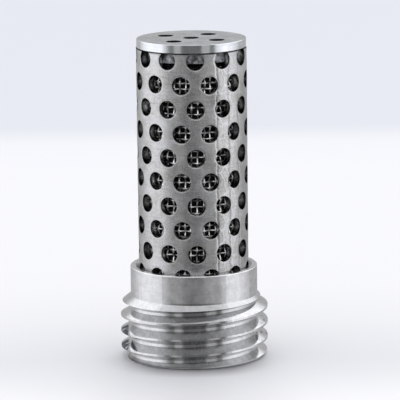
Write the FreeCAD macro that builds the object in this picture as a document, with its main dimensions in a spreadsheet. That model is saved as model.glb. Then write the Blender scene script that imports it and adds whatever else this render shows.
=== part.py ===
# Pneumatic muffler: threaded base, perforated tube, vented end cap and the
# woven wire mesh stack between them. Millimetres, +Z up.
# Origin: centre of the base's bottom face, on the muffler's axis.
import FreeCAD
import Part
import Sketcher
import os

doc = FreeCAD.newDocument("pneumatic_muffler")
V = FreeCAD.Vector


# ---------------------------------------------------------------- dimensions
# Driving sizes, then sizes worked out from them. (alias, value or formula)
SIZES = [
    # threaded base
    ("thread_dia", 14.0),           # M14 x 1.5 male thread
    ("thread_pitch", 1.5),
    ("thread_depth", 0.92),
    ("thread_crest", 0.1875),       # flat left on the crest
    ("thread_phase", 1.04),          # height of a groove centre on the +X side
    ("lead_chamfer", 0.5),
    ("collar_dia", 12.05),
    ("thread_top", 5.22),            # top of the full-size thread
    ("groove_end_turn", 40.0),      # where the groove starts to run out
    ("groove_fade", 45.0),          # degrees over which it runs out
    ("collar_foot", 6.01),           # where the collar starts
    ("base_height", 8.77),
    ("rim_chamfer", 0.07),
    ("rim_mouth_dia", 11.1),        # countersink around the tube
    ("rim_mouth_depth", 0.39),
    ("bore_dia", 6.9),
    ("bore_chamfer", 0.3),
    ("seat_height", 7.1),           # floor the tube and the mesh stand on
    ("base_sectors", 24),
    # perforated tube
    ("tube_dia", 10.42),
    ("tube_wall", 0.79),
    ("tube_top", 29.62),
    ("hole_dia", 1.7),
    ("row_gap", 2.282),
    ("top_row", 28.96),
    ("holes_round", 12),
    ("rows_each", 5),
    ("first_hole_turn", 3.8),       # degrees from the front, towards +X
    # end cap
    ("cap_dia", 10.31),
    ("cap_edge", 0.07),             # small chamfers on the cap's flange
    ("cap_flange", 0.85),
    ("cap_spigot", 0.99),
    ("cap_recess_dia", 7.3),
    ("cap_recess_depth", 0.52),
    ("vent_dia", 1.48),
    ("vent_circle_dia", 5.78),
    ("vent_turn", 56.0),
    ("vent_count", 4),
    # woven mesh layers
    ("coarse_cloth", 0.4),          # two crossing 0.2 mm wires
    ("fine_cloth", 0.12),           # two crossing 0.06 mm wires
    ("sleeve_gap", 0.3),            # sleeves stop short of the cap
    # worked out
    ("thread_r", "=thread_dia / 2"),
    ("root_r", "=thread_r - thread_depth"),
    ("lead_r", "=thread_r - lead_chamfer"),
    ("collar_r", "=collar_dia / 2"),
    ("rim_r", "=collar_r - rim_chamfer"),
    ("rim_z", "=base_height - rim_chamfer"),
    ("rim_mouth_r", "=rim_mouth_dia / 2"),
    ("rim_mouth_z", "=base_height - rim_mouth_depth"),
    ("bore_r", "=bore_dia / 2"),
    ("bore_mouth_r", "=bore_r + bore_chamfer"),
    ("sector_angle", "=360 / base_sectors"),
    ("flank_run", "=thread_depth * tan(30 deg)"),
    ("groove_half_top", "=(thread_pitch - thread_crest) / 2"),
    ("groove_half_root", "=groove_half_top - flank_run"),
    ("over_cut", 0.15),
    ("cutter_r", "=thread_r + over_cut"),
    ("cutter_half", "=groove_half_top + over_cut * tan(30 deg)"),
    ("cutter_z", "=cutter_half + 0.2"),
    ("cutter_low", "=cutter_z - cutter_half"),
    ("cutter_high", "=cutter_z + cutter_half"),
    ("cutter_root_low", "=cutter_z - groove_half_root"),
    ("cutter_root_high", "=cutter_z + groove_half_root"),
    ("cutter_shift", "=thread_phase - 2 * thread_pitch - cutter_z"),
    ("cutter_rise", "=thread_pitch * (5 + groove_end_turn / 360)"),
    ("fade_shift", "=cutter_shift + cutter_rise"),
    ("fade_rise", "=thread_pitch * groove_fade / 360"),
    ("fade_slope", "=atan((thread_depth + 0.03) / fade_rise)"),
    ("tube_r", "=tube_dia / 2"),
    ("tube_in_r", "=tube_r - tube_wall"),
    ("cap_r", "=cap_dia / 2"),
    ("cap_top", "=tube_top + cap_flange"),
    ("cap_edge_r", "=cap_r - cap_edge"),
    ("cap_edge_low", "=tube_top + cap_edge"),
    ("cap_edge_high", "=cap_top - cap_edge / 2"),
    ("cap_face_r", "=cap_r - cap_edge / 2"),
    ("spigot_low", "=tube_top - cap_spigot"),
    ("recess_r", "=cap_recess_dia / 2"),
    ("recess_top", "=spigot_low + cap_recess_depth"),
    ("vent_circle_r", "=vent_circle_dia / 2"),
    ("sleeve_top", "=spigot_low - sleeve_gap"),
    ("sleeve_length", "=sleeve_top - seat_height"),
    ("filter_r", "=tube_in_r - coarse_cloth"),
    ("support_r", "=filter_r - fine_cloth"),
    ("support_in_r", "=support_r - coarse_cloth"),
    ("disc_split", "=recess_top - coarse_cloth"),
]

sheet = doc.addObject("Spreadsheet::Sheet", "Dims")
for line, (alias, value) in enumerate(SIZES, start=1):
    sheet.set("A%d" % line, alias)
    sheet.set("B%d" % line, str(value))
    sheet.setAlias("B%d" % line, alias)
doc.recompute()


def size(alias):
    return float(sheet.get(alias))


# ------------------------------------------------------------------- helpers
def origin_item(body, role):
    for item in body.Origin.OriginFeatures:
        if item.Role == role:
            return item


def new_body(label):
    body = doc.addObject("PartDesign::Body", label)
    body.Label = label
    return body


def new_sketch(body, name, role):
    sketch = body.newObject("Sketcher::SketchObject", name)
    sketch.AttachmentSupport = [(origin_item(body, role), "")]
    sketch.MapMode = "FlatFace"
    return sketch


def bind(sketch, kind, args, alias):
    index = sketch.addConstraint(Sketcher.Constraint(kind, *args, size(alias)))
    name = "c%d_%s" % (index, alias)
    sketch.renameConstraint(index, name)
    sketch.setExpression("Constraints." + name, "Dims." + alias)


def outline(sketch, corners):
    """Closed outline. Each corner is (x alias, z alias), or 0 for on an axis."""
    spots = []
    for x, z in corners:
        spots.append(V(size(x) if x else 0.0, size(z) if z else 0.0, 0))
    count = len(spots)
    for i in range(count):
        sketch.addGeometry(Part.LineSegment(spots[i], spots[(i + 1) % count]))
    for i in range(count):
        sketch.addConstraint(Sketcher.Constraint("Coincident", i, 2, (i + 1) % count, 1))
    for i, (x, z) in enumerate(corners):
        if x:
            bind(sketch, "DistanceX", (-1, 1, i, 1), x)
        else:
            sketch.addConstraint(Sketcher.Constraint("PointOnObject", i, 1, -2))
        if z:
            bind(sketch, "DistanceY", (-1, 1, i, 1), z)
        else:
            sketch.addConstraint(Sketcher.Constraint("PointOnObject", i, 1, -1))
    doc.recompute()


def circle(sketch, radius_alias, x_alias=None, y_alias=None):
    spot = V(size(x_alias) if x_alias else 0.0, size(y_alias) if y_alias else 0.0, 0)
    index = sketch.addGeometry(Part.Circle(spot, V(0, 0, 1), size(radius_alias)))
    bind(sketch, "Radius", (index,), radius_alias)
    if x_alias:
        bind(sketch, "DistanceX", (-1, 1, index, 3), x_alias)
    else:
        sketch.addConstraint(Sketcher.Constraint("PointOnObject", index, 3, -2))
    if y_alias:
        bind(sketch, "DistanceY", (-1, 1, index, 3), y_alias)
    else:
        sketch.addConstraint(Sketcher.Constraint("PointOnObject", index, 3, -1))
    return index


def add_cells(rows):
    start = len(SIZES) + 1
    for offset, (alias, formula) in enumerate(rows):
        sheet.set("A%d" % (start + offset), alias)
        sheet.set("B%d" % (start + offset), formula)
        sheet.setAlias("B%d" % (start + offset), alias)
    doc.recompute()


def revolve(body, sketch, angle=360.0):
    feature = body.newObject("PartDesign::Revolution", "turned")
    feature.Profile = sketch
    feature.ReferenceAxis = (sketch, ["V_Axis"])
    feature.Angle = angle
    feature.Refine = False
    body.Tip = feature
    doc.recompute()
    return feature


def polar(body, source, count_alias, refine=False):
    feature = body.newObject("PartDesign::PolarPattern", "round_pattern")
    feature.Originals = [source]
    feature.Axis = (origin_item(body, "Z_Axis"), [""])
    feature.Angle = 360.0
    if count_alias:
        feature.Occurrences = int(size(count_alias))
        feature.setExpression("Occurrences", "Dims." + count_alias)
    feature.Refine = refine
    body.Tip = feature
    doc.recompute()
    return feature


def pocket(body, sketch, reverse):
    feature = body.newObject("PartDesign::Pocket", "cut")
    feature.Profile = sketch
    feature.Type = "ThroughAll"
    feature.Reversed = reverse
    feature.Refine = False
    body.Tip = feature
    doc.recompute()
    return feature


def turned_ring(label, outer, inner, low, high):
    body = new_body(label)
    sketch = new_sketch(body, label + "_profile", "XZ_Plane")
    if inner:
        outline(sketch, [(inner, low), (outer, low), (outer, high), (inner, high)])
    else:
        outline(sketch, [(0, low), (outer, low), (outer, high), (0, high)])
    revolve(body, sketch)
    return body


# ------------------------------------------------------------- threaded base
# The blank is turned as equal sectors, so the thread's crest stays a true
# cylinder in short faces after the groove is cut.
base = new_body("threaded_base")
blank = new_sketch(base, "base_profile", "XZ_Plane")
outline(blank, [
    ("bore_mouth_r", 0),
    ("lead_r", 0),
    ("thread_r", "lead_chamfer"),
    ("thread_r", "thread_top"),
    ("collar_r", "collar_foot"),
    ("collar_r", "rim_z"),
    ("rim_r", "base_height"),
    ("rim_mouth_r", "base_height"),
    ("tube_r", "rim_mouth_z"),
    ("tube_r", "seat_height"),
    ("bore_r", "seat_height"),
    ("bore_r", "bore_chamfer"),
])
sector = revolve(base, blank, size("sector_angle"))
sector.setExpression("Angle", "Dims.sector_angle")
blank_ring = polar(base, sector, "base_sectors")
blank_volume = blank_ring.Shape.Volume


def groove_profile(name, turn_alias, shift_alias):
    sketch = new_sketch(base, name, "XZ_Plane")
    outline(sketch, [
        ("root_r", "cutter_root_low"),
        ("cutter_r", "cutter_low"),
        ("cutter_r", "cutter_high"),
        ("root_r", "cutter_root_high"),
    ])
    if turn_alias:
        turn = FreeCAD.Rotation(V(0, 1, 0), size(turn_alias))
        sketch.AttachmentOffset = FreeCAD.Placement(V(0, 0, 0), turn)
        sketch.setExpression("AttachmentOffset.Rotation.Angle", "Dims." + turn_alias)
    sketch.setExpression("AttachmentOffset.Base.y", "Dims." + shift_alias)
    doc.recompute()
    return sketch


def helical_cut(name, sketch, rise_alias, slope_alias=None):
    cut = base.newObject("PartDesign::SubtractiveHelix", name)
    cut.Profile = sketch
    cut.ReferenceAxis = (sketch, ["V_Axis"])
    cut.Mode = 0
    cut.Pitch = size("thread_pitch")
    cut.Height = size(rise_alias)
    cut.setExpression("Pitch", "Dims.thread_pitch")
    cut.setExpression("Height", "Dims." + rise_alias)
    if slope_alias:
        cut.Angle = size(slope_alias)
        cut.setExpression("Angle", "Dims." + slope_alias)
    cut.LeftHanded = False
    cut.Reversed = False
    cut.Refine = False
    base.Tip = cut
    doc.recompute()
    return cut


groove = groove_profile("thread_groove", None, "cutter_shift")
thread = helical_cut("thread_cut", groove, "cutter_rise")
assert thread.Shape.Volume < blank_volume - 20.0, "thread groove removed nothing"
# The groove climbs out of the metal just below the collar.
run_out = groove_profile("run_out_groove", "groove_end_turn", "fade_shift")
faded = helical_cut("thread_run_out", run_out, "fade_rise", "fade_slope")
assert faded.Shape.Volume < thread.Shape.Volume, "thread run-out removed nothing"

# ----------------------------------------------------------- perforated tube
row_cells = []
for row in range(int(size("rows_each"))):
    row_cells.append(("odd_row_%s" % "abcdefgh"[row], "=top_row - %d * row_gap" % (2 * row)))
    row_cells.append(("even_row_%s" % "abcdefgh"[row], "=top_row - %d * row_gap" % (2 * row + 1)))
row_cells.append(("hole_r", "=hole_dia / 2"))
row_cells.append(("vent_r", "=vent_dia / 2"))
row_cells.append(("stagger", "=180 / holes_round"))
row_cells.append(("even_turn", "=first_hole_turn + stagger"))
add_cells(row_cells)

tube = turned_ring("perforated_tube", "tube_r", "tube_in_r", "seat_height", "tube_top")
for parity, turn_alias in (("odd", "first_hole_turn"), ("even", "even_turn")):
    solid_volume = tube.Shape.Volume
    rows = new_sketch(tube, parity + "_rows", "XZ_Plane")
    for letter in "abcde":
        circle(rows, "hole_r", None, "%s_row_%s" % (parity, letter))
    rows.AttachmentOffset = FreeCAD.Placement(V(0, 0, 0), FreeCAD.Rotation(V(0, 1, 0), 1.0))
    rows.setExpression("AttachmentOffset.Rotation.Angle", "Dims." + turn_alias)
    doc.recompute()
    first = pocket(tube, rows, True)
    if abs(first.Shape.Volume - solid_volume) < 1.0:
        first.Reversed = False
        doc.recompute()
    ring_of_holes = polar(tube, first, "holes_round")
    assert ring_of_holes.Shape.Volume < solid_volume - 80.0, "tube holes missing"

# ------------------------------------------------------------------- end cap
cap = new_body("end_cap")
cap_profile = new_sketch(cap, "cap_profile", "XZ_Plane")
outline(cap_profile, [
    (0, "recess_top"),
    ("recess_r", "recess_top"),
    ("recess_r", "spigot_low"),
    ("tube_in_r", "spigot_low"),
    ("tube_in_r", "tube_top"),
    ("cap_edge_r", "tube_top"),
    ("cap_r", "cap_edge_low"),
    ("cap_r", "cap_edge_high"),
    ("cap_face_r", "cap_top"),
    (0, "cap_top"),
])
revolve(cap, cap_profile)
for name, x_alias in (("centre_vent", None), ("outer_vent", "vent_circle_r")):
    solid_volume = cap.Shape.Volume
    vent = new_sketch(cap, name, "XY_Plane")
    circle(vent, "vent_r", x_alias, None)
    vent.AttachmentOffset = FreeCAD.Placement(V(0, 0, 0), FreeCAD.Rotation(V(0, 0, 1), 1.0))
    vent.setExpression("AttachmentOffset.Rotation.Angle", "Dims.vent_turn")
    doc.recompute()
    cut = pocket(cap, vent, True)
    if abs(cut.Shape.Volume - solid_volume) < 0.1:
        cut.Reversed = False
        doc.recompute()
    assert cut.Shape.Volume < solid_volume - 0.5, "cap vent missing"
    if x_alias:
        polar(cap, cut, "vent_count")

# --------------------------------------------------------------- mesh layers
turned_ring("outer_mesh_sleeve", "tube_in_r", "filter_r", "seat_height", "sleeve_top")
turned_ring("filter_mesh_sleeve", "filter_r", "support_r", "seat_height", "sleeve_top")
turned_ring("support_mesh_sleeve", "support_r", "support_in_r", "seat_height", "sleeve_top")
turned_ring("end_mesh_disc", "recess_r", None, "disc_split", "recess_top")
turned_ring("end_filter_disc", "recess_r", None, "spigot_low", "disc_split")

# -------------------------------------------------------------------- export
doc.recompute()
bodies = [item for item in doc.Objects if item.TypeId == "PartDesign::Body"]
for item in doc.Objects:
    bad = [word for word in item.State if word in ("Invalid", "Error", "Touched")]
    assert not bad, "%s is %s" % (item.Label, bad)
os.makedirs("parts", exist_ok=True)
for body in bodies:
    shape = body.Shape
    assert not shape.isNull(), body.Label + " has no shape"
    assert shape.isValid(), body.Label + " is not valid"
    assert len(shape.Solids) == 1, body.Label + " is not one solid"
    shape.exportStep("parts/" + body.Label + ".step")
    box = shape.BoundBox
    print("%-20s %8.3f mm3  z %.3f..%.3f  r %.3f"
          % (body.Label, shape.Volume, box.ZMin, box.ZMax, box.XMax))
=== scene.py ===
import bpy
import math
import random
from mathutils import Matrix, Vector


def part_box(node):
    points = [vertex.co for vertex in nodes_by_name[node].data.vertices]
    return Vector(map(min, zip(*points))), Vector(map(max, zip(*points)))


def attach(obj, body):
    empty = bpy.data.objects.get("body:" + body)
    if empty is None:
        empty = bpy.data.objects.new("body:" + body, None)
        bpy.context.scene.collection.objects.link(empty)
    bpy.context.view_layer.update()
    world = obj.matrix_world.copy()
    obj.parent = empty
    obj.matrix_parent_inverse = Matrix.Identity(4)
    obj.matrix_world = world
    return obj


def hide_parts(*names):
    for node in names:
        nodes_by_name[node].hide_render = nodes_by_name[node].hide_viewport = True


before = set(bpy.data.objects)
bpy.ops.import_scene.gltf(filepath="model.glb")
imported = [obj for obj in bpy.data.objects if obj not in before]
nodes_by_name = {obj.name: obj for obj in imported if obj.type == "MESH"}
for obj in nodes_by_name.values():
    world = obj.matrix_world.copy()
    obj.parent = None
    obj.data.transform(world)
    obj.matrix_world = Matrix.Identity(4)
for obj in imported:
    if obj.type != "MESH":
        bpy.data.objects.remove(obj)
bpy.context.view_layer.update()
scene = bpy.context.scene

MM = 0.001
PI = math.pi


# ------------------------------------------------------------ node helpers
class Nodes:
    """Short way to add and join shader nodes."""

    def __init__(self, tree):
        self.tree = tree
        tree.nodes.clear()

    def add(self, kind, **settings):
        node = self.tree.nodes.new(kind)
        for key, value in settings.items():
            setattr(node, key, value)
        return node

    def plug(self, value, socket):
        if isinstance(value, bpy.types.NodeSocket):
            self.tree.links.new(value, socket)
        elif value is not None:
            socket.default_value = value

    def math(self, operation, a, b=None):
        node = self.add("ShaderNodeMath", operation=operation)
        for value, socket in zip((a, b), node.inputs):
            self.plug(value, socket)
        return node.outputs[0]

    def ramp(self, value, stops):
        """Colour by value; stops are pairs of a place from 0 to 1 and a colour."""
        node = self.add("ShaderNodeValToRGB")
        points = node.color_ramp.elements
        while len(points) < len(stops):
            points.new(0.5)
        for point, (where, colour) in zip(points, stops):
            point.position = where
            point.color = (*colour, 1.0)
        self.plug(value, node.inputs[0])
        return node.outputs[0]

    def spread(self, value, low, high, to_low=0.0, to_high=1.0, smooth=False):
        """to_low up to low, to_high from high on, and between them in between."""
        node = self.add("ShaderNodeMapRange", clamp=True)
        node.interpolation_type = "SMOOTHSTEP" if smooth else "LINEAR"
        for item, socket in zip((value, low, high, to_low, to_high), node.inputs):
            self.plug(item, socket)
        return node.outputs[0]

    def mix(self, factor, a, b):
        """Colour a where factor is 0, colour b where it is 1."""
        node = self.add("ShaderNodeMix", data_type="RGBA")
        for value, place in ((factor, 0), (a, 6), (b, 7)):   # 6 and 7 are colours
            self.plug(value, node.inputs[place])
        return node.outputs[2]

    def vector(self, x, y, z):
        node = self.add("ShaderNodeCombineXYZ")
        for value, socket in zip((x, y, z), node.inputs):
            self.plug(value, socket)
        return node.outputs[0]

    def noise(self, where, scale, detail=2.0, rough=0.5):
        node = self.add("ShaderNodeTexNoise")
        self.plug(where, node.inputs["Vector"])
        node.inputs["Scale"].default_value = scale
        node.inputs["Detail"].default_value = detail
        node.inputs["Roughness"].default_value = rough
        return node.outputs[0]

    def cracks(self, where, scale):
        node = self.add("ShaderNodeTexVoronoi", feature="DISTANCE_TO_EDGE")
        self.plug(where, node.inputs["Vector"])
        node.inputs["Scale"].default_value = scale
        return node.outputs["Distance"]

    def bump(self, height, distance, normal=None):
        """Relief by height, distance millimetres deep, laid over the relief in normal."""
        node = self.add("ShaderNodeBump")
        node.inputs["Distance"].default_value = distance * MM
        self.plug(height, node.inputs["Height"])
        self.plug(normal, node.inputs["Normal"])
        return node.outputs[0]


def product(nodes, first, *others):
    for other in others:
        first = nodes.math("MULTIPLY", first, other)
    return first


def length(nodes, first, second):
    """Straight-line length of two legs at right angles."""
    squares = [nodes.math("MULTIPLY", leg, leg) for leg in (first, second)]
    return nodes.math("SQRT", nodes.math("ADD", *squares))


def grey(value, warm=0.0):
    """A grey colour; warm above 0 leans to red, below 0 to blue."""
    return (value * (1 + warm), value, value * (1 - warm), 1.0)


def start_metal(name, base, roughness):
    """A metal shader and the surface's place as millimetres and turn."""
    material = bpy.data.materials.new(name)
    material.use_nodes = True
    nodes = Nodes(material.node_tree)
    out = nodes.add("ShaderNodeOutputMaterial")
    shader = nodes.add("ShaderNodeBsdfPrincipled")
    nodes.tree.links.new(shader.outputs[0], out.inputs[0])
    shader.inputs["Metallic"].default_value = 1.0
    shader.inputs["Roughness"].default_value = roughness
    shader.inputs["Base Color"].default_value = base
    where = nodes.add("ShaderNodeTexCoord").outputs["Object"]
    parts = nodes.add("ShaderNodeSeparateXYZ")
    nodes.plug(where, parts.inputs[0])
    x, y, z = (nodes.math("MULTIPLY", socket, 1 / MM) for socket in parts.outputs)
    turn = nodes.math("ARCTAN2", y, x)
    radius = length(nodes, x, y)
    return material, nodes, shader, (x, y, z, turn, radius)


def scale_colour(nodes, base, factor, shader):
    """Give the shader the colour base times factor."""
    colour = nodes.add("ShaderNodeVectorMath", operation="SCALE")
    nodes.plug(base[:3] if hasattr(base, "__len__") else base, colour.inputs[0])
    nodes.plug(factor, colour.inputs["Scale"])
    nodes.plug(colour.outputs[0], shader.inputs["Base Color"])
    return colour.outputs[0]


def turned_metal(name, base, roughness, shade, satin, dirt=None):
    """Lathe-turned metal: fine rings round the axis on walls and faces.

    shade darkens, satin roughens and dirt covers by place: each is a
    function of the place.
    """
    material, nodes, shader, where = start_metal(name, base, roughness)
    x, y, z, turn, radius = where
    tool_marks = []
    for across, along in ((30.0, 0.5), (9.0, 0.25)):
        stretched = nodes.vector(product(nodes, z, across), product(nodes, radius, across),
                                 product(nodes, turn, along))
        tool_marks.append(nodes.noise(stretched, 1.0))
    rings, bands = tool_marks
    place = nodes.vector(x, y, z)
    blotch = nodes.noise(place, 0.9, 4.0, 0.6)
    grain = nodes.noise(place, 6.0, 3.0, 0.6)
    tone = nodes.math("ADD", nodes.spread(blotch, 0.3, 0.7, 0.95, 1.04),
                      nodes.spread(bands, 0.3, 0.7, -0.03, 0.03))
    tone = nodes.math("MULTIPLY", tone, shade(nodes, where))
    metal = scale_colour(nodes, base, tone, shader)
    rough = nodes.math("ADD", nodes.spread(blotch, 0.25, 0.75, roughness - 0.03, roughness + 0.05),
                       nodes.spread(grain, 0.3, 0.7, -0.02, 0.03))
    rough = nodes.math("ADD", rough, satin(nodes, where))
    if dirt:
        cover = dirt(nodes, where)
        nodes.plug(nodes.mix(cover, metal, GRIME), shader.inputs["Base Color"])
        nodes.plug(nodes.spread(cover, 0.0, 1.0, 1.0, 0.1), shader.inputs["Metallic"])
        rough = nodes.math("ADD", rough, nodes.math("MULTIPLY", cover, 0.45))
    nodes.plug(rough, shader.inputs["Roughness"])
    soft = nodes.bump(grain, 0.0018)
    nodes.plug(nodes.bump(rings, 0.0009, soft), shader.inputs["Normal"])
    return material


def off_whole(nodes, value):
    """How far value is from the nearest whole number."""
    return nodes.math("SUBTRACT", value, nodes.math("ROUND", value))


def hole_distance(nodes, turn, z):
    """Millimetres over the tube's skin to the nearest hole's centre."""
    nearest = None
    for row, lag in ((0.0, 0.0), (ROW_GAP, HOLE_TURN / 2)):
        rise = nodes.math("DIVIDE", nodes.math("SUBTRACT", z, TOP_ROW - row), 2 * ROW_GAP)
        swing = nodes.math("DIVIDE", nodes.math("SUBTRACT", turn, FIRST_HOLE + lag), HOLE_TURN)
        legs = []
        for share, step in ((rise, 2 * ROW_GAP), (swing, HOLE_TURN * TUBE_R)):
            legs.append(nodes.math("MULTIPLY", off_whole(nodes, share), step))
        away = length(nodes, *legs)
        nearest = away if nearest is None else nodes.math("MINIMUM", nearest, away)
    return nearest


def hole_wall_light(nodes, y, z, x, radius):
    """1 on the tube's skin; in the holes, patchy painted light at mid-height and mid-depth, and
    painted shade at the ends and edges.
    """
    wall_light_patches = nodes.noise(nodes.vector(y, z, x), 1.7, 4.0, 0.7)
    row = nodes.math("DIVIDE", nodes.math("SUBTRACT", z, TOP_ROW), ROW_GAP)
    off_row = nodes.math("ABSOLUTE", off_whole(nodes, row))
    wall = product(nodes, nodes.spread(wall_light_patches, 0.42, 0.60, 0.30, 1.30),
                   nodes.spread(off_row, 0.06, 0.27, 1.50, 0.12, smooth=True),
                   nodes.spread(radius, TUBE_R - 0.34, TUBE_R - 0.14, 1.0, 0.28),
                   nodes.spread(radius, TUBE_R - 0.77, TUBE_R - 0.55, 0.2, 1.0))
    skin = nodes.spread(radius, TUBE_R - 0.08, TUBE_R - 0.03)
    inside = nodes.math("MULTIPLY", wall, nodes.math("SUBTRACT", 1.0, skin))
    return nodes.math("ADD", inside, skin)


def rolled_metal(name, base, roughness):
    """Rolled perforated sheet: creases along the axis, level scratches, stains, and painted light and
    shade.
    """
    material, nodes, shader, (x, y, z, turn, radius) = start_metal(name, base, roughness)
    place = nodes.vector(x, y, z)
    blotch = nodes.noise(place, 0.55, 5.0, 0.62)
    stain = nodes.noise(nodes.vector(y, z, x), 0.8, 6.0, 0.7)
    grain = nodes.noise(place, 5.0, 4.0, 0.65)
    level = nodes.vector(product(nodes, turn, 2.0), product(nodes, z, 11.0), radius)
    rubs = nodes.noise(level, 1.0, 6.0, 0.75)
    rub_marks = nodes.spread(rubs, 0.53, 0.68)
    slow = nodes.vector(product(nodes, turn, 3.0), product(nodes, z, 0.9), 0.0)
    sway = nodes.noise(slow, 1.0, 3.0, 0.6)
    bent = nodes.math("ADD", turn, nodes.spread(sway, 0.3, 0.7, -0.022, 0.022))
    half = nodes.math("MULTIPLY", nodes.math("SUBTRACT", bent, FIRST_HOLE), HOLES_ROUND)
    fold = nodes.math("ABSOLUTE", nodes.math("COSINE", half))
    off_seam = nodes.math("SUBTRACT", turn, SEAM_TURN)
    seam_side = nodes.math("COSINE", nodes.math("MULTIPLY", off_seam, 2.0))
    seam = nodes.spread(seam_side, 0.70, 0.94, 0.10, 1.0)
    crease = nodes.math("MULTIPLY", nodes.spread(fold, 0.0, 0.42, smooth=True), seam)
    away = hole_distance(nodes, bent, z)
    lip = nodes.spread(away, HOLE_R, HOLE_R + 0.16, smooth=True)
    puckers = nodes.vector(product(nodes, bent, 5.0), product(nodes, z, 0.5),
                           product(nodes, stain, 1.5))
    pinches = nodes.math("MULTIPLY", nodes.spread(nodes.cracks(puckers, 1.0), 0.015, 0.10, 1.0, 0.0),
                         nodes.spread(seam_side, 0.82, 0.95))
    shade = nodes.math("ADD", nodes.spread(blotch, 0.3, 0.7, 0.86, 1.12),
                       nodes.spread(grain, 0.34, 0.66, -0.10, 0.11))
    shade = nodes.math("SUBTRACT", shade, nodes.math("MULTIPLY", rub_marks, 0.32))
    # Painted light: the sheet is lighter toward the top.
    shade = nodes.math("MULTIPLY", shade, nodes.spread(z, 9.0, 29.0, 0.94, 1.08))
    # Painted shade: a dark line along the bottom of each crease.
    line = nodes.math("MULTIPLY", nodes.spread(fold, 0.03, 0.16, 0.35, 0.0), seam)
    shade = nodes.math("SUBTRACT", shade, line)
    # Painted highlight along the puckers near the seam.
    shade = nodes.math("ADD", shade, nodes.math("MULTIPLY", pinches, 0.22))
    # Painted highlight: a light rim round each hole.
    shade = nodes.math("ADD", shade, nodes.spread(away, HOLE_R, HOLE_R + 0.10, 0.04, 0.0))
    # Painted shade at the joint under the cap.
    shade = nodes.math("MULTIPLY", shade, nodes.spread(z, CAP_LOW - 0.10, CAP_LOW - 0.04, 1.0, 0.3))
    browned = (base[0] * 0.83, base[1] * 0.805, base[2] * 0.76, 1.0)
    tarnish = nodes.mix(nodes.spread(stain, 0.44, 0.66), base, browned)
    # Painted light and shade on the hole walls.
    walls = hole_wall_light(nodes, y, z, x, radius)
    scale_colour(nodes, tarnish, nodes.math("MULTIPLY", shade, walls), shader)
    rough = nodes.math("ADD", nodes.spread(blotch, 0.25, 0.75, roughness - 0.05, roughness + 0.10),
                       nodes.math("MULTIPLY", rub_marks, 0.10))
    nodes.plug(rough, shader.inputs["Roughness"])
    relief = None
    layers = ((crease, 0.032), (lip, 0.014), (pinches, 0.012), (rubs, 0.014), (grain, 0.008))
    for height, depth in layers:
        relief = nodes.bump(height, depth, relief)
    nodes.plug(relief, shader.inputs["Normal"])
    return material


def wire_metal(name, base, roughness, valley, crest, deep):
    """Drawn wire: full tone from the radius crest on, deep times it within valley, as painted shade
    in the weave.
    """
    material, nodes, shader, (x, y, z, turn, radius) = start_metal(name, base, roughness)
    place = nodes.vector(x, y, z)
    patch = nodes.noise(place, 1.6, 3.0, 0.6)
    grain = nodes.noise(place, 14.0, 2.0, 0.6)
    # Painted shade: the wire darkens as it sinks into the weave.
    crests = nodes.spread(radius, valley, crest, deep, 1.0, smooth=True)
    worn = nodes.spread(patch, 0.40, 0.52, 0.22, 1.08)
    scale_colour(nodes, base, nodes.math("MULTIPLY", worn, crests), shader)
    nodes.plug(nodes.spread(grain, 0.3, 0.7, roughness - 0.06, roughness + 0.08),
               shader.inputs["Roughness"])
    nodes.plug(nodes.bump(grain, 0.004), shader.inputs["Normal"])
    return material


def fine_cloth(name, base, roughness, pitch):
    """Fine wire cloth: a close over-and-under weave in both directions, with painted shade where the
    weave sinks.
    """
    material, nodes, shader, (x, y, z, turn, radius) = start_metal(name, base, roughness)
    warps = nodes.math("SINE", nodes.math("MULTIPLY", turn, CLOTH_R * PI / pitch))
    wefts = nodes.math("SINE", nodes.math("MULTIPLY", z, PI / pitch))
    height = nodes.math("ABSOLUTE", nodes.math("MULTIPLY", warps, wefts))
    # Painted shade where the weave sinks.
    scale_colour(nodes, base, nodes.spread(height, 0.05, 0.5, 0.25, 1.0), shader)
    grain = nodes.noise(nodes.vector(x, y, z), 6.0, 3.0, 0.6)
    nodes.plug(nodes.spread(grain, 0.3, 0.7, roughness - 0.06, roughness + 0.08),
               shader.inputs["Roughness"])
    nodes.plug(nodes.bump(height, 0.05), shader.inputs["Normal"])
    return material


# ---------------------------------------------------------------- materials
# Sizes in millimetres and turns about the axis in radians; 0 faces +X.
TUBE_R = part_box("perforated_tube")[1].x / MM
CAP_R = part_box("end_cap")[1].x / MM
CAP_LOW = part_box("perforated_tube")[1].z / MM
CAP_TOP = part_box("end_cap")[1].z / MM
MESH_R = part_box("outer_mesh_sleeve")[1].x / MM
BASE_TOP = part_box("threaded_base")[1].z / MM
COLLAR_FOOT = 6.01
THREAD_TOP = 5.22
CLOTH_R = 4.0
VENT_R = 0.74
VENT_REACH = 2.89                        # from the axis to the outer vents
VENT_TURN = math.radians(56.0)
HOLE_R = 0.85
HOLES_ROUND = 12
HOLE_TURN = 2 * PI / HOLES_ROUND
FIRST_HOLE = math.radians(-86.2)
TOP_ROW = 28.96
ROW_GAP = 2.282
SEAM_TURN = math.radians(-52.0)          # where rolling creased the sheet most
GRIME = (0.012, 0.022, 0.034, 1.0)


def in_vents(nodes, turn, radius):
    """1 inside the centre vent and the four outer ones, else 0."""
    eighth = PI / 4
    past = nodes.math("SUBTRACT", turn, VENT_TURN - eighth)
    folded = nodes.math("FLOORED_MODULO", past, 2 * eighth)
    off_vent = nodes.math("SUBTRACT", folded, eighth)
    side_way = nodes.math("MULTIPLY", nodes.math("SINE", off_vent), radius)
    out_way = nodes.math("MULTIPLY", nodes.math("COSINE", off_vent), radius)
    away = length(nodes, side_way, nodes.math("SUBTRACT", out_way, VENT_REACH))
    nearest = nodes.math("MINIMUM", away, radius)
    return nodes.spread(nearest, VENT_R + 0.005, VENT_R + 0.03, 1.0, 0.0)


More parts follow.
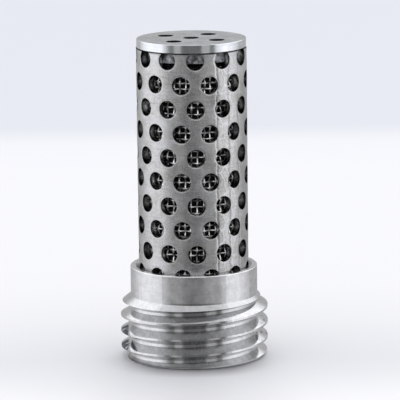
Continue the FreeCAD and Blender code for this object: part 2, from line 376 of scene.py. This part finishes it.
def cap_shade(nodes, where):
    """Spigot in patchy painted shade, painted shade at the joint with the tube, and painted shade in
    the vents.
    """
    x, y, z, turn, radius = where
    patchy_spigot_shade = nodes.noise(nodes.vector(x, y, z), 1.3, 5.0, 0.7)
    bright = nodes.spread(patchy_spigot_shade, 0.42, 0.6, 0.18, 0.95)
    # Painted shade: the spigot is dark and patchy, darkest at the joint with the tube.
    spigot = nodes.math("MULTIPLY", bright, nodes.spread(z, CAP_LOW - 0.12, CAP_LOW, 1.0, 0.35))
    flange = nodes.spread(z, CAP_LOW + 0.04, CAP_LOW + 0.11)
    lower = nodes.math("MULTIPLY", spigot, nodes.math("SUBTRACT", 1.0, flange))
    cloud = nodes.noise(nodes.vector(x, y, z), 0.9, 5.0, 0.65)
    face = nodes.math("MULTIPLY", flange, nodes.spread(cloud, 0.3, 0.7, 0.93, 1.04))
    # Painted shade inside the vents.
    below_face = nodes.spread(z, CAP_TOP - 0.10, CAP_TOP - 0.01, 1.0, 0.0)
    sunk = nodes.math("MULTIPLY", in_vents(nodes, turn, radius), below_face)
    vent_shade = nodes.spread(sunk, 0.0, 1.0, 1.0, 0.08)
    return nodes.math("MULTIPLY", nodes.math("ADD", lower, face), vent_shade)


def cap_satin(nodes, where):
    """The spigot and the vented face are duller than the flange's edge."""
    x, y, z, turn, radius = where
    spigot = nodes.spread(z, CAP_LOW - 0.03, CAP_LOW, 0.45, 0.0)
    return nodes.math("ADD", spigot, nodes.spread(radius, CAP_R - 0.12, CAP_R - 0.06, 0.10, 0.0))


def base_shade(nodes, where):
    """Cloudy patches, and painted shade: a dark foot, a darker cone and, front and back, a line over
    it.
    """
    x, y, z, turn, radius = where
    cloud = nodes.noise(nodes.vector(z, x, y), 1.7, 5.0, 0.65)
    fine = nodes.noise(nodes.vector(x, z, y), 5.5, 5.0, 0.8)
    # Painted shade: the foot darkens toward the floor.
    foot = nodes.spread(z, 0.04, 0.26, 0.16, 1.0)
    # Painted shade: a line just above the collar's foot, in the middle front and back.
    above = nodes.spread(z, COLLAR_FOOT, COLLAR_FOOT + 0.02)
    below = nodes.spread(z, COLLAR_FOOT + 0.12, COLLAR_FOOT + 0.22, 1.0, 0.0)
    middle = nodes.spread(nodes.math("ABSOLUTE", x), 1.5, 2.6, 0.45, 0.0)
    line = nodes.math("SUBTRACT", 1.0, product(nodes, above, below, middle))
    # Painted shade: the cone is darker.
    cone = nodes.math("MULTIPLY", nodes.spread(z, THREAD_TOP - 0.3, THREAD_TOP + 0.2),
                      nodes.spread(z, COLLAR_FOOT - 0.04, COLLAR_FOOT, 1.0, 0.0))
    cone_shade = nodes.spread(cone, 0.0, 1.0, 1.0, 0.86)
    patchy = nodes.spread(cloud, 0.3, 0.7, 0.84, 1.08)
    worn = nodes.spread(fine, 0.35, 0.65, 0.93, 1.06)
    return product(nodes, patchy, worn, foot, line, cone_shade)


def base_dirt(nodes, where):
    """Dark residue at the two sides, on the front half of the lower crests."""
    x, y, z, turn, radius = where
    left, right = -7.0, 7.0
    spots = nodes.noise(nodes.vector(x, y, product(nodes, z, 1.2)), 1.3, 6.0, 0.75)
    weighted = nodes.math("ADD", spots, nodes.spread(x, left, right, 0.09, -0.03))
    patches = nodes.spread(weighted, 0.48, 0.56)
    level = nodes.math("ADD", z, nodes.spread(x, left, right, 1.1, 0.0))
    low = nodes.spread(level, 4.3, 4.8, 1.0, 0.0)
    off_foot = nodes.spread(z, 0.8, 1.1)
    sides = nodes.spread(nodes.math("ABSOLUTE", x), 6.05, 6.35)
    crests = nodes.spread(radius, 6.1, 6.4)
    ahead = nodes.spread(y, -0.2, 0.5, 1.0, 0.0)
    return product(nodes, patches, sides, crests, low, off_foot, ahead)


def base_satin(nodes, where):
    """The collar is duller than the thread."""
    x, y, z, turn, radius = where
    return nodes.spread(z, BASE_TOP - 2.9, BASE_TOP - 2.6, -0.06, 0.11)


base_metal = turned_metal("turned_steel", grey(0.65, -0.008), 0.17, base_shade, base_satin, base_dirt)
cap_metal = turned_metal("cap_steel", grey(0.76, -0.032), 0.12, cap_shade, cap_satin)
tube_metal = rolled_metal("perforated_steel", grey(0.53, -0.012), 0.25)
wire = wire_metal("coarse_mesh", grey(0.92, 0.01), 0.42, MESH_R - 0.30, MESH_R - 0.08, 0.12)
# The inner mesh lies wholly within its valley radius, so all of it takes the painted weave shade and
# none of it is bright.
inner_wire = wire_metal("inner_mesh", (0.25, 0.205, 0.17, 1.0), 0.35, 8.0, 9.0, 0.5)
# The fine cloth is painted near black as the shade inside the tube.
cloth = fine_cloth("fine_mesh", grey(0.035, 0.03), 0.5, 0.2)


def paint(obj, material):
    obj.data.materials.clear()
    obj.data.materials.append(material)


def soften(obj, width):
    """Bevel every sharp edge by width in millimetres."""
    edge = obj.modifiers.new("worn_edges", "BEVEL")
    edge.width = width * MM
    edge.segments = 2
    edge.limit_method = "ANGLE"
    edge.angle_limit = math.radians(32.0)
    edge.use_clamp_overlap = True
    edge.harden_normals = False


soften(nodes_by_name["perforated_tube"], 0.035)
soften(nodes_by_name["end_cap"], 0.04)
paint(nodes_by_name["threaded_base"], base_metal)
paint(nodes_by_name["perforated_tube"], tube_metal)
paint(nodes_by_name["end_cap"], cap_metal)
paint(nodes_by_name["filter_mesh_sleeve"], cloth)
paint(nodes_by_name["end_filter_disc"], cloth)


# ------------------------------------------------------------- woven meshes
WIRE_R = 0.1
UP = Vector((0, 0, 1))


def sweep(verts, faces, path, frames, sides, closed):
    """A round wire along path; frames hold the two cross directions."""
    start = len(verts)
    for point, (a, b) in zip(path, frames):
        for k in range(sides):
            t = 2 * PI * k / sides
            verts.append(point + (a * math.cos(t) + b * math.sin(t)) * WIRE_R * MM)
    count = len(path)
    for i in range(count if closed else count - 1):
        near = start + i * sides
        far = start + ((i + 1) % count) * sides
        for k in range(sides):
            n = (k + 1) % sides
            faces.append((near + k, near + n, far + n, far + k))
    if not closed:
        faces.append(tuple(start + k for k in reversed(range(sides))))
        last = start + (count - 1) * sides
        faces.append(tuple(last + k for k in range(sides)))


def make_mesh(name, verts, faces, material):
    data = bpy.data.meshes.new(name)
    data.from_pydata([tuple(v) for v in verts], [], faces)
    data.validate()
    data.polygons.foreach_set("use_smooth", [True] * len(data.polygons))
    data.materials.append(material)
    obj = bpy.data.objects.new(name, data)
    scene.collection.objects.link(obj)
    return obj


def stand_in(name, node, verts, faces, material):
    """The woven mesh that is seen in place of the CAD node's plain envelope."""
    woven = make_mesh(name, verts, faces, material)
    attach(woven, "root")
    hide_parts(node)


def woven_sleeve(name, node, warps, wefts, material, steps, sides, jitter, twist):
    """Plain-woven wire sleeve filling the CAD sleeve's thickness.

    Warps run along the axis and wefts round it. steps counts the points from
    one crossing to the next, sides those round a wire; jitter is the unevenness
    of the spacing and twist the warps' lean, in radians per millimetre.
    """
    low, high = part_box(node)
    swing = WIRE_R
    mid = high.x / MM - 2 * WIRE_R
    z0 = low.z / MM + WIRE_R
    z1 = high.z / MM - WIRE_R
    pitch = (z1 - z0) / wefts
    verts, faces = [], []
    dice = random.Random(len(name) * 31 + warps)
    weft_z = [z0 + pitch * (j + 0.5) + dice.uniform(-jitter, jitter) for j in range(wefts)]
    warp_turn = [2 * PI * (i + dice.uniform(-jitter, jitter) * 2) / warps for i in range(warps)]
    for i in range(warps):
        sign = 1 if i % 2 else -1
        path, frames = [], []
        rows = wefts * steps
        end_cut = dice.uniform(0.0, 0.22)
        for s in range(rows + 1):
            z = z0 + (z1 - end_cut - z0) * s / rows
            phase = (z - z0) / pitch - 0.5
            r = mid + swing * sign * math.cos(PI * phase)
            turn = warp_turn[i] + twist * (z - z0)
            radial = Vector((math.cos(turn), math.sin(turn), 0))
            tangent = Vector((-math.sin(turn), math.cos(turn), 0))
            slope = -swing * sign * math.sin(PI * phase) * PI / pitch
            path.append((radial * r + UP * z) * MM)
            frames.append((tangent, (radial - UP * slope).normalized()))
        sweep(verts, faces, path, frames, sides, False)
    for j in range(wefts):
        sign = 1 if j % 2 else -1
        path, frames = [], []
        tilt = dice.uniform(-0.02, 0.02)
        lift = dice.uniform(0, 2 * PI)
        for s in range(warps * steps):
            phase = s / steps
            crossing = int(phase)
            start = warp_turn[crossing]
            end = warp_turn[crossing + 1] if crossing + 1 < warps else warp_turn[0] + 2 * PI
            turn = start + (end - start) * (phase - crossing)
            r = mid + swing * sign * math.cos(PI * phase)
            z = weft_z[j] + tilt * math.sin(turn + lift)
            turn += twist * (z - z0)
            radial = Vector((math.cos(turn), math.sin(turn), 0))
            path.append((radial * r + UP * z) * MM)
            frames.append((UP, radial))
        sweep(verts, faces, path, frames, sides, True)
    stand_in(name, node, verts, faces, material)


def woven_disc(name, node, pitch, material):
    """Plain-woven wire disc cut from flat cloth."""
    low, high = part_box(node)
    limit = high.x / MM - 0.02
    mid = (low.z + high.z) / 2 / MM
    steps, sides = 6, 6
    verts, faces = [], []
    lines = int(limit / pitch)
    for along_y in (False, True):
        for i in range(-lines, lines + 1):
            offset = i * pitch
            reach = math.sqrt(max(0.0, limit * limit - offset * offset)) - WIRE_R
            if reach < pitch:
                continue
            sign = 1 if (i % 2 == 1) == along_y else -1
            rows = max(4, int(2 * reach / pitch * steps))
            path, frames = [], []
            for s in range(rows + 1):
                along = -reach + 2 * reach * s / rows
                height = mid + WIRE_R * sign * math.cos(PI * along / pitch)
                if along_y:
                    path.append(Vector((offset, along, height)) * MM)
                    frames.append((Vector((1, 0, 0)), UP))
                else:
                    path.append(Vector((along, offset, height)) * MM)
                    frames.append((Vector((0, -1, 0)), UP))
            sweep(verts, faces, path, frames, sides, False)
    stand_in(name, node, verts, faces, material)


woven_sleeve("outer_mesh_wires", "outer_mesh_sleeve", 46, 36, wire,
             steps=5, sides=6, jitter=0.05, twist=0.004)
woven_sleeve("support_mesh_wires", "support_mesh_sleeve", 46, 42, inner_wire,
             steps=4, sides=5, jitter=0.02, twist=0.0)
woven_disc("end_disc_wires", "end_mesh_disc", 0.5, inner_wire)


# ------------------------------------------------------------------- camera
SENSOR = 36.0                            # millimetres across
LENS = 294.57
EYE = Vector((0.0, -304.88, 73.04)) * MM
YAW, DOWN, ROLL = 0.00218, 0.1883, -0.0115    # radians

flat = math.cos(DOWN)
forward = Vector((math.sin(YAW) * flat, math.cos(YAW) * flat, -math.sin(DOWN)))
right = Vector((math.cos(YAW), -math.sin(YAW), 0.0))
above = right.cross(forward)
side = right * math.cos(ROLL) + above * math.sin(ROLL)
head = above * math.cos(ROLL) - right * math.sin(ROLL)
camera_data = bpy.data.cameras.new("camera")
camera_data.sensor_width = SENSOR
camera_data.lens = LENS
camera_data.clip_start = 0.01
camera_data.clip_end = 20.0
camera = bpy.data.objects.new("camera", camera_data)
scene.collection.objects.link(camera)
camera.matrix_world = Matrix((
    (side.x, head.x, -forward.x, EYE.x),
    (side.y, head.y, -forward.y, EYE.y),
    (side.z, head.z, -forward.z, EYE.z),
    (0.0, 0.0, 0.0, 1.0),
))
scene.camera = camera


# -------------------------------------------------------------------- floor
FLOOR_REACH = 3.0                        # metres, like every size of the floor
FLOOR_CORNERS = 96
FLOOR_DROP = 0.00001
BANDS_NEAR, BANDS_FAR = -0.04, 0.16

# Metres behind the part, and how pale and how cool the floor is there; the dip by the part's foot is
# a painted shadow.
FLOOR_BANDS = [
    (BANDS_NEAR, 0.59, 0.014), (-0.016, 0.58, 0.018), (-0.002, 0.535, 0.03),
    (0.014, 0.575, 0.02), (0.030, 0.595, 0.016), (0.100, 0.595, 0.02),
    (0.119, 0.585, 0.025), (0.132, 0.51, 0.07), (BANDS_FAR, 0.51, 0.07),
]


def floor_shade(nodes, x, y):
    """A painted shadow close in front of the foot, and a painted streak of shade before it with
    painted light at its sides.
    """
    off_middle = nodes.math("ABSOLUTE", x)
    close = product(nodes, nodes.spread(length(nodes, x, y), 0.0066, 0.0098, 0.55, 0.0),
                    nodes.spread(y, 0.0, -0.005),
                    nodes.spread(off_middle, 0.0035, 0.007, 1.0, 0.1))
    streak = nodes.math("MULTIPLY", nodes.spread(off_middle, 0.0, 0.010, -0.08, 0.08),
                        nodes.spread(y, -0.008, -0.020))
    return nodes.math("ADD", nodes.math("SUBTRACT", 1.0, close), streak)


def floor_material():
    material = bpy.data.materials.new("pale_floor")
    material.use_nodes = True
    nodes = Nodes(material.node_tree)
    out = nodes.add("ShaderNodeOutputMaterial")
    shader = nodes.add("ShaderNodeBsdfPrincipled")
    nodes.tree.links.new(shader.outputs[0], out.inputs[0])
    shader.inputs["Roughness"].default_value = 0.45
    shader.inputs["Specular IOR Level"].default_value = 0.3
    parts = nodes.add("ShaderNodeSeparateXYZ")
    nodes.plug(nodes.add("ShaderNodeTexCoord").outputs["Object"], parts.inputs[0])
    x, y = parts.outputs[0], parts.outputs[1]
    stops = []
    for behind, pale, cool in FLOOR_BANDS:
        place = (behind - BANDS_NEAR) / (BANDS_FAR - BANDS_NEAR)
        stops.append((place, (pale * (1 - cool / 3), pale, pale * (1 + cool))))
    tone = nodes.ramp(nodes.spread(y, BANDS_NEAR, BANDS_FAR), stops)
    scale_colour(nodes, tone, floor_shade(nodes, x, y), shader)
    return material


def make_floor():
    rim = []
    for k in range(FLOOR_CORNERS):
        turn = 2 * PI * k / FLOOR_CORNERS
        rim.append((FLOOR_REACH * math.cos(turn), FLOOR_REACH * math.sin(turn), -FLOOR_DROP))
    data = bpy.data.meshes.new("floor")
    data.from_pydata(rim, [], [tuple(range(FLOOR_CORNERS))])
    data.materials.append(floor_material())
    obj = bpy.data.objects.new("floor", data)
    scene.collection.objects.link(obj)
    obj.visible_glossy = False


make_floor()

# ------------------------------------------------------------------- studio
# A light tent round the part. Its walls are bright at the two sides, with a
# narrow strip of light on each side of the dim front, and dim at the back.
# The slopes begin a little above level, the eaves are higher still and the
# roof is on top. What lies under the part reaches the thread's upper flanks.
TENT_STRENGTH = 1.35
ROOF_LEVEL = 0.9
SUN_STRENGTH = 1.30
SUN_SIZE = math.radians(45.0)
SUN_FROM = Vector((0.08, 0.80, 1.0))


def light_tone(level):
    """A tent brightness; bright cloth is slightly cool, shade slightly warm."""
    cool = min(1.0, level) * 0.03 - 0.01
    value = level / TENT_STRENGTH
    return (value * (1 - cool * 0.5), value * (1 - cool * 0.5), value * (1 + cool))


def around(stops):
    """Ramp stops from headings: 0 is the camera's side, plus is to its right."""
    return [(degrees / 360.0 + 0.5, light_tone(level)) for degrees, level in stops]


world = bpy.data.worlds.new("light_tent")
scene.world = world
world.use_nodes = True
tent = Nodes(world.node_tree)
tent_out = tent.add("ShaderNodeOutputWorld")
glow = tent.add("ShaderNodeBackground")
tent.tree.links.new(glow.outputs[0], tent_out.inputs[0])
aim = tent.add("ShaderNodeSeparateXYZ")
tent.plug(tent.add("ShaderNodeTexCoord").outputs["Generated"], aim.inputs[0])
aim_x, aim_y, aim_z = aim.outputs
heading = tent.math("ARCTAN2", aim_x, tent.math("MULTIPLY", aim_y, -1.0))
place_round = tent.math("ADD", tent.math("DIVIDE", heading, 2 * PI), 0.5)
walls = tent.ramp(place_round, around([
    (-180, 0.48), (-140, 0.56), (-126, 0.86), (-114, 1.20), (-100, 1.32), (-66, 1.28),
    (-57, 0.85), (-50, 0.42), (-44, 0.24), (-38, 0.24), (-35, 0.52), (-23, 0.50),
    (-20, 0.16), (20, 0.16), (23, 0.52), (38, 0.52), (41, 0.20), (48, 0.24),
    (54, 0.85), (64, 1.22), (74, 1.32), (86, 1.25), (97, 1.10), (110, 0.86),
    (123, 0.54), (142, 0.50), (180, 0.48),
]))
slopes = tent.ramp(place_round, around([
    (-180, 0.40), (-150, 0.66), (-125, 1.35), (-75, 1.35), (-45, 1.0), (0, 0.85),
    (45, 1.0), (75, 1.35), (125, 1.35), (150, 0.66), (180, 0.40),
]))
eaves = tent.ramp(place_round, around([
    (-180, 1.20), (-160, 1.40), (-140, 1.66), (0, 1.66), (140, 1.66), (160, 1.40), (180, 1.20),
]))
under = tent.ramp(place_round, around([
    (-180, 0.30), (-120, 1.0), (-80, 1.08), (-45, 0.50), (-20, 0.36), (20, 0.36),
    (45, 0.50), (80, 1.08), (120, 1.0), (180, 0.30),
]))
roof = (*light_tone(ROOF_LEVEL), 1.0)
light = walls
# Each layer takes over between two heights, from -1 straight down to 1 straight up.
for start, end, layer in ((-0.02, 0.12, slopes), (0.28, 0.50, eaves), (0.80, 0.97, roof),
                             (-0.26, -0.50, under)):
    light = tent.mix(tent.spread(aim_z, start, end, smooth=True), light, layer)
tent.plug(light, glow.inputs[0])
glow.inputs[1].default_value = TENT_STRENGTH

# Soft light from above and behind: it lifts the floor and draws the shadow.
sun_data = bpy.data.lights.new("roof_light", "SUN")
sun_data.energy = SUN_STRENGTH
sun_data.angle = SUN_SIZE
sun = bpy.data.objects.new("roof_light", sun_data)
sun.rotation_euler = SUN_FROM.to_track_quat("Z", "Y").to_euler()
sun.visible_glossy = False
scene.collection.objects.link(sun)

scene.view_settings.view_transform = "Standard"
scene.view_settings.look = "None"
scene.view_settings.exposure = 0.0
